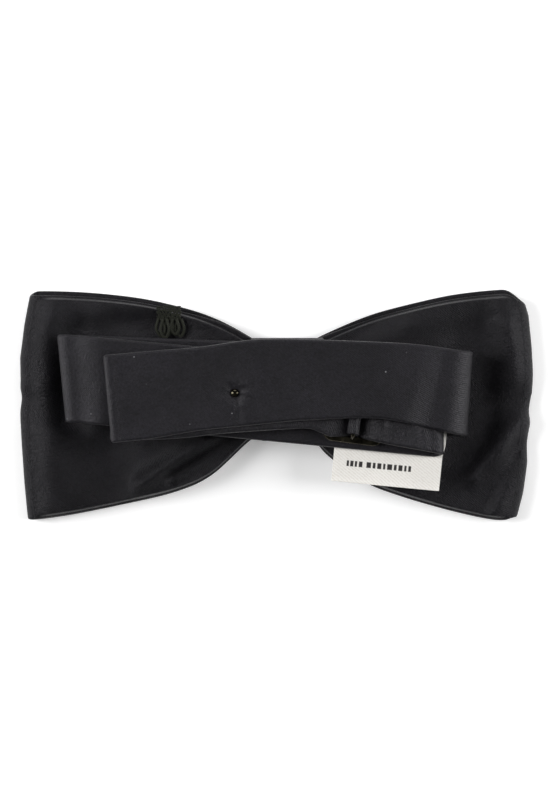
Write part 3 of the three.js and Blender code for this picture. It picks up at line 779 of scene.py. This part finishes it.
def slider_run():
    """The run through the slider, in two lengths that meet over the slider's middle bar, and its inner fold."""
    x_at, y_at, z_at = stations("band_slider_run")
    low, high = box("band_slider_run")
    frame_low, frame_high = box("slider_frame")
    slider_x = (frame_low[0] + frame_high[0]) / 2
    right = box("band_inner_fold")[0][0]

    def edges_of(x):
        return np.stack([through(SLIDER_RUN_LOW, x), np.interp(x, x_at, y_at) + SLIDER_RUN_HALF], axis=1)

    def gathers(x, y, s):
        near = 1 - smooth((np.abs(x - slider_x) - 5.5) / 3)
        lean = x + 0.12 * (y + 7)
        folds = sum(height * bump(lean, at, width) for at, width, height in GATHER_FOLDS)
        right_fold = 0.45 * bump(lean, 34.2, 1.2)
        return -(folds * near + right_fold * smooth((x - 31) / 2))

    uneven = creased(0.1, 17)
    soft = lambda x, y, s: gathers(x, y, s) + uneven(x, y, s) * (1 - smooth((x - 10) / 3))
    for name, xs, start, end in (
        ("neckband_slider_run_left", np.linspace(slider_x, low[0], 200), -6.0, 9.0),
        ("neckband_slider_run_right", np.linspace(right, slider_x, 90), right - 0.3, frame_high[0] + 0.2),
    ):
        path = np.stack([xs, np.interp(xs, x_at, z_at)], axis=1)
        near = 1 - smooth((np.abs(xs - slider_x) - SLIDER_HALF_LENGTH) / SKEW_FADE)
        square = SLIDER_RUN_HALF * math.tan(-SLIDER_TILT) * near
        made = cloth_strip(
            name, path, edges_of(xs), BAND_THICK, SATIN_BAND, soft,
            soft_ends=(False, name.endswith("left")), lean=square,
        )
        fix_normals(made)
        if name.endswith("left"):
            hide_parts("band_slider_run")
        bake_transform(made)
        declare_strip(path, edges_of(xs))

    fold_low, fold_high = box("band_inner_fold")
    middle_line = straight_between("band_lower_runs", middle("band_lower_runs")[2], 1e3)[0](right)
    low_mid, high_mid = fold_low[2] + BAND_THICK / 2, fold_high[2] - BAND_THICK / 2
    radius = (high_mid - low_mid) / 2
    turn = np.linspace(-math.pi / 2, math.pi / 2, 40)
    path = np.stack([right + radius * np.cos(turn), (low_mid + high_mid) / 2 + radius * np.sin(turn)], axis=1)
    share = (turn / math.pi + 0.5)[:, None]
    start_edges = np.array([[middle_line - BAND_WIDTH / 2, middle_line + BAND_WIDTH / 2]])
    edges = start_edges * (1 - share) + edges_of(np.array([right])) * share
    made = cloth_strip("neckband_inner_fold", path, edges, BAND_THICK, SATIN_BAND, soft_ends=(False, False))
    fix_normals(made)
    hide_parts("band_inner_fold")
    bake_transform(made)
    declare_strip(path, edges)


main_band()
slider_run()

# ---- slider ----


def turned_in_plan(points, centre, tilt):
    c, s = math.cos(tilt), math.sin(tilt)
    points = np.asarray(points, float)
    x = centre[0] + points[:, 0] * c - points[:, 1] * s
    y = centre[1] + points[:, 0] * s + points[:, 1] * c
    return np.stack([x, y, points[:, 2]], axis=1)


def slider():
    """A rounded ring of polished plate with a middle bar, and the gathered keeper round the bar."""
    low, high = box("slider_frame")
    centre = (low + high) / 2
    c, s = abs(math.cos(SLIDER_TILT)), abs(math.sin(SLIDER_TILT))
    span_x, span_y = high[0] - low[0], high[1] - low[1]
    length = (span_x * c - span_y * s) / (c * c - s * s)
    width = (span_y * c - span_x * s) / (c * c - s * s)
    bar, thick, corner = SLIDER_BAR, high[2] - low[2], SLIDER_CORNER
    outline = []
    for quarter, (sx, sy) in enumerate(((1, 1), (-1, 1), (-1, -1), (1, -1))):
        for j in range(9):
            turn = math.pi / 2 * (quarter + j / 8)
            outline.append((
                sx * (length / 2 - corner) + (corner - bar / 2) * math.cos(turn),
                sy * (width / 2 - corner) + (corner - bar / 2) * math.sin(turn),
            ))
    outline = np.array(outline)
    run = np.roll(outline, -1, 0) - np.roll(outline, 1, 0)
    run /= np.linalg.norm(run, axis=1)[:, None]
    out = np.stack([run[:, 1], -run[:, 0]], axis=1)
    rings = []
    for point, normal in zip(outline, out):
        ring = []
        for j in range(20):
            turn = 2 * math.pi * j / 20
            a = math.copysign(abs(math.cos(turn)) ** 0.6, math.cos(turn)) * bar / 2
            b = math.copysign(abs(math.sin(turn)) ** 0.6, math.sin(turn)) * thick / 2
            ring.append((point[0] + normal[0] * a, point[1] + normal[1] * a, centre[2] + b))
        rings.append(turned_in_plan(ring, centre, SLIDER_TILT))
    ring_piece = ring_loft("slider_ring", rings, GUNMETAL, closed=True)
    fix_normals(ring_piece)
    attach(ring_piece, "slider")
    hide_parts("slider_frame")

    half = width / 2 - bar / 2
    bar_z = box("slider_centre_bar")[1][2] - CENTRE_BAR_RADIUS
    path = [
        (0, share * half, centre[2] + (bar_z - centre[2]) * smooth((1 - abs(share)) / 0.12))
        for share in np.linspace(-1, 1, 60)
    ]
    bar_piece = tube("slider_bar", turned_in_plan(path, centre, SLIDER_TILT), CENTRE_BAR_RADIUS, GUNMETAL, 14)
    fix_normals(bar_piece)
    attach(bar_piece, "slider")
    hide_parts("slider_centre_bar")

    loop_low, loop_high = box("slider_keeper_loop")
    bar_z = (loop_low[2] + loop_high[2]) / 2
    rings = []
    for j in range(61):
        v = 2 * j / 60 - 1
        y = v * (width / 2 - bar - 0.5)
        ring = []
        for k in range(72):
            turn = 2 * math.pi * k / 72
            co, si = math.cos(turn), math.sin(turn)
            gather = 1 + 0.07 * math.sin(5 * turn + 2.2 * v) + 0.05 * math.sin(9 * turn - 3 * v)
            half_x = 1.45 + 0.1 * math.sin(2.1 * v + 1)
            x = math.copysign(abs(co) ** 0.9, co) * half_x * gather
            ring.append((x, y, bar_z + si * 1.15 * gather))
        rings.append(turned_in_plan(ring, centre, SLIDER_TILT))
    keeper = ring_loft("slider_keeper", rings, SATIN_BAND)
    fix_normals(keeper)
    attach(keeper, "slider")
    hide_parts("slider_keeper_loop")


slider()

# ---- stud ----


def lathe(name, profile, centre, made_of, sides=48):
    rings = []
    for radius, z in profile:
        turn = np.linspace(0, 2 * math.pi, sides, endpoint=False)
        rings.append(np.stack([
            centre[0] + radius * np.cos(turn), centre[1] + radius * np.sin(turn), np.full(sides, z),
        ], axis=1))
    made = ring_loft(name, rings, made_of)
    fix_normals(made)
    return made


def stud():
    low, high = box("closure_stud")
    centre = (low + high) / 2
    top_low, top_high = box("band_top_run")
    seat = top_high[2] - 0.35
    cap = 0.95
    profile = [(0.02, low[2]), (0.45, low[2] + 0.12), (0.65, low[2] + 0.4), (0.45, low[2] + 0.7), (0.45, seat)]
    profile += [(cap, seat), (cap, seat + 0.12)]
    for j in range(1, 9):
        turn = math.pi / 2 * j / 8
        profile.append((max(cap * math.cos(turn), 0.02), seat + 0.12 + 0.62 * math.sin(turn)))
    made = lathe("stud_dome", profile, centre, GUNMETAL)
    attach(made, "top_run")
    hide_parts("closure_stud")


stud()

# ---- care label ----


def label_cloth():
    """Ivory label satin with rows of plain printed marks that spell nothing."""
    made, nodes, links, shader = material("label_satin")
    height, place = weave_height(nodes, links, 2.2)
    shade = ramp(nodes, [(0.1, (0.74, 0.71, 0.66)), (1.0, (0.86, 0.84, 0.8))])
    links.new(height, shade.inputs["Fac"])
    marks = nodes.new("ShaderNodeAttribute")
    marks.attribute_name = "print"
    ink = add(nodes, "ShaderNodeMix", data_type="RGBA")
    ink.inputs["B"].default_value = (0.02, 0.018, 0.018, 1)
    links.new(marks.outputs["Fac"], ink.inputs["Factor"])
    links.new(shade.outputs["Color"], ink.inputs["A"])
    links.new(ink.outputs["Result"], shader.inputs["Base Color"])
    shader.inputs["Roughness"].default_value = 0.5
    shader.inputs["Sheen Weight"].default_value = 0.2
    fine = add(nodes, "ShaderNodeBump", Strength=0.3, Distance=0.0001)
    links.new(height, fine.inputs["Height"])
    links.new(fine.outputs["Normal"], shader.inputs["Normal"])
    return made


def care_label():
    """The label: its sewn end under the band and its free end, one piece of cloth that bends at the seam."""
    joint = next(j for j in frame["joints"] if j["name"] == "label_fold")
    seam = np.array(joint["pos_m"]) / MM
    axis = Vector(joint["axis"]).normalized()
    along = np.array([axis.x, axis.y, 0])
    out = np.array([axis.y, -axis.x, 0])
    width, flap, tab, thick = LABEL_SIZE
    droop = math.radians(11)
    nu, nv = 240, 130
    top, bottom, ink = [], [], []
    for j in range(nv + 1):
        d = -tab + (tab + flap) * j / nv
        for i in range(nu + 1):
            u = (i / nu - 0.5) * width + 0.45 * (i / nu) * smooth(-d / 3 + 0.2)
            fall = -math.tan(droop) * max(d, 0) if d > 0 else 0.0
            wave = 0.18 * math.sin(u * 0.35 + 0.7) * smooth(d / flap) + 0.25 * smooth((d - flap + 1.2) / 1.2) * 0.3
            point = seam + along * u + out * d
            z = seam[2] + thick / 2 + fall + wave + 0.1
            top.append((point[0], point[1], z + thick / 2))
            bottom.append((point[0], point[1], z - thick / 2))
            ink.append(printed(u, d))
    vertices = top + bottom
    size, row = len(top), nu + 1
    faces = []
    for j in range(nv):
        for i in range(nu):
            a = j * row + i
            faces.append((a, a + 1, a + row + 1, a + row))
            faces.append((size + a, size + a + row, size + a + row + 1, size + a + 1))
    rim = [i for i in range(nu)] + [nu + row * j for j in range(nv)]
    rim += [nv * row + i for i in range(nu, 0, -1)] + [row * j for j in range(nv, 0, -1)]
    for k, a in enumerate(rim):
        b = rim[(k + 1) % len(rim)]
        faces.append((a, size + a, size + b, b))
    made = new_object("care_label", vertices, faces, label_cloth())
    fix_normals(made)
    attribute = made.data.attributes.new("print", "FLOAT", "POINT")
    attribute.data.foreach_set("value", ink + [0.0] * size)
    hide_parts("care_label_flap", "care_label_tab")
    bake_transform(made)


# Printed bars: where each starts across the label, and its length.
MARKS = ((-9.4, 0.5), (-8.6, 0.8), (-7.5, 0.5), (-6.6, 0.9), (-4.8, 1.1), (-3.3, 0.6), (-2.3, 1.0), (-0.9, 0.5),
         (0.0, 1.2), (1.6, 0.7), (2.7, 0.9), (4.0, 0.6), (5.0, 0.6))


def printed(u, d):
    """1 where the label is printed: one row of plain bars, in the middle of the free end."""
    if not 3.3 < d < 4.6:
        return 0.0
    return 1.0 if any(start < u < start + length for start, length in MARKS) else 0.0


care_label()

# ---- loose thread ----


def tuft():
    """A frayed scrap of weave caught in the wing's edge seam, with loops of thread below it."""
    low, high = box("thread_tuft")
    centre = (low + high) / 2
    draw = random.Random(RANDOM_SEED)
    base = low[2] + 0.05
    made = []
    for i in range(11):
        x = centre[0] - 2.9 + i * 0.5
        points = [
            (
                x + draw.uniform(-0.3, 0.3) + 0.05 * j, centre[1] + 4.0 - j * 0.5,
                base + 0.25 + 0.16 * ((i + j) % 2),
            )
            for j in range(8)
        ]
        made.append(tube(f"tuft_warp_{i}", spline(points, 26), 0.17, LOOSE_THREAD, 7))
    for i in range(7):
        y = centre[1] + 3.8 - i * 0.52
        points = [
            (centre[0] - 3.2 + j * 0.62, y + draw.uniform(-0.26, 0.26), base + 0.36 - 0.16 * ((i + j) % 2))
            for j in range(10)
        ]
        made.append(tube(f"tuft_weft_{i}", spline(points, 34), 0.17, LOOSE_THREAD, 7))
    for i in range(5):
        x = centre[0] - 2.6 + i * 1.15
        reach, lean = draw.uniform(2.4, 3.6), draw.uniform(-0.7, 0.7)
        lift = 0.35 * (i % 2)
        points = [
            (x - 0.2, centre[1] + 1.0, base + 0.5 + lift),
            (x - 0.95 + lean * 0.4, centre[1] - reach * 0.45, base + 0.75 + lift),
            (x + lean, centre[1] - reach, base + 0.6 + lift),
            (x + 1.0 + lean * 0.5, centre[1] - reach * 0.45, base + 0.95 + lift),
            (x + 0.55, centre[1] + 1.0, base + 0.6 + lift),
        ]
        made.append(tube(f"tuft_loop_{i}", spline(points, 34), 0.36, LOOSE_THREAD, 9))
    for obj in made:
        fix_normals(obj)
        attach(obj, "bow")
    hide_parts("thread_tuft")


tuft()

# ---- carried-over CAD nodes ----

for node, finish in (
    ("wing_lining_left", LINING),
    ("wing_lining_right", LINING),
    ("knot_padding", LINING),
    ("knot_binding_thread", THREAD),
    ("knot_closing_stitches", THREAD),
    ("care_label_stitches", THREAD),
    ("stud_washer", GUNMETAL),
    ("band_eyelet", GUNMETAL),
):
    slots = frame["nodes"][node].material_slots
    for material_slot in slots:
        material_slot.material = finish

# ---- floor, light and camera ----


def floor():
    size = FLOOR_HALF_SIZE
    mesh = bpy.data.meshes.new("floor")
    mesh.from_pydata([(-size, -size, 0), (size, -size, 0), (size, size, 0), (-size, size, 0)], [], [(0, 1, 2, 3)])
    obj = bpy.data.objects.new("floor", mesh)
    bpy.context.scene.collection.objects.link(obj)
    made, nodes, links, shader = material("floor_paper")
    grain = add(nodes, "ShaderNodeTexNoise", Scale=40.0, Detail=3.0)
    shade = ramp(nodes, [(0.0, (0.9, 0.9, 0.9)), (1.0, (0.93, 0.93, 0.93))])
    links.new(grain.outputs["Fac"], shade.inputs["Fac"])
    links.new(shade.outputs["Color"], shader.inputs["Base Color"])
    shader.inputs["Roughness"].default_value = 1.0
    shader.inputs["Specular IOR Level"].default_value = 0.0
    shader.inputs["Emission Color"].default_value = (1, 1, 1, 1)
    shader.inputs["Emission Strength"].default_value = 0.25
    mesh.materials.append(made)
    obj.location.z = -FLOOR_GAP


def area_light(name, place, size, power, aim=(0, 0, 0)):
    data = bpy.data.lights.new(name, "AREA")
    data.shape = "RECTANGLE"
    data.size, data.size_y = size
    data.energy = power
    obj = bpy.data.objects.new(name, data)
    obj.location = place
    obj.rotation_euler = (Vector(aim) - Vector(place)).to_track_quat("-Z", "Y").to_euler()
    bpy.context.scene.collection.objects.link(obj)


def studio():
    floor()
    world = bpy.data.worlds.new("studio")
    world.use_nodes = True
    world.node_tree.nodes["Background"].inputs["Color"].default_value = (1, 1, 1, 1)
    world.node_tree.nodes["Background"].inputs["Strength"].default_value = 0.1
    bpy.context.scene.world = world
    area_light("key", (-0.7, 0.1, 0.46), (0.3, 0.7), 7.6)
    area_light("rim", (0.72, 0.06, 0.4), (0.3, 0.7), 6.0)
    area_light("top", (0.05, 0.75, 0.5), (0.7, 0.25), 2.5)
    bpy.context.scene.view_settings.view_transform = "Standard"
    bpy.context.scene.view_settings.look = "None"


def camera():
    """Straight down on the tie's back, from far enough to show little perspective."""
    data = bpy.data.cameras.new("camera")
    data.lens = LENS_MM
    data.sensor_width = SENSOR_MM
    tall = IMAGE_HEIGHT * PHOTO_MM_PER_PIXEL * MM
    distance = tall * LENS_MM / SENSOR_MM
    obj = bpy.data.objects.new("camera", data)
    obj.location = (*CAMERA_OVER, distance + CAMERA_RISE)
    bpy.context.scene.collection.objects.link(obj)
    bpy.context.scene.camera = obj


studio()
camera()
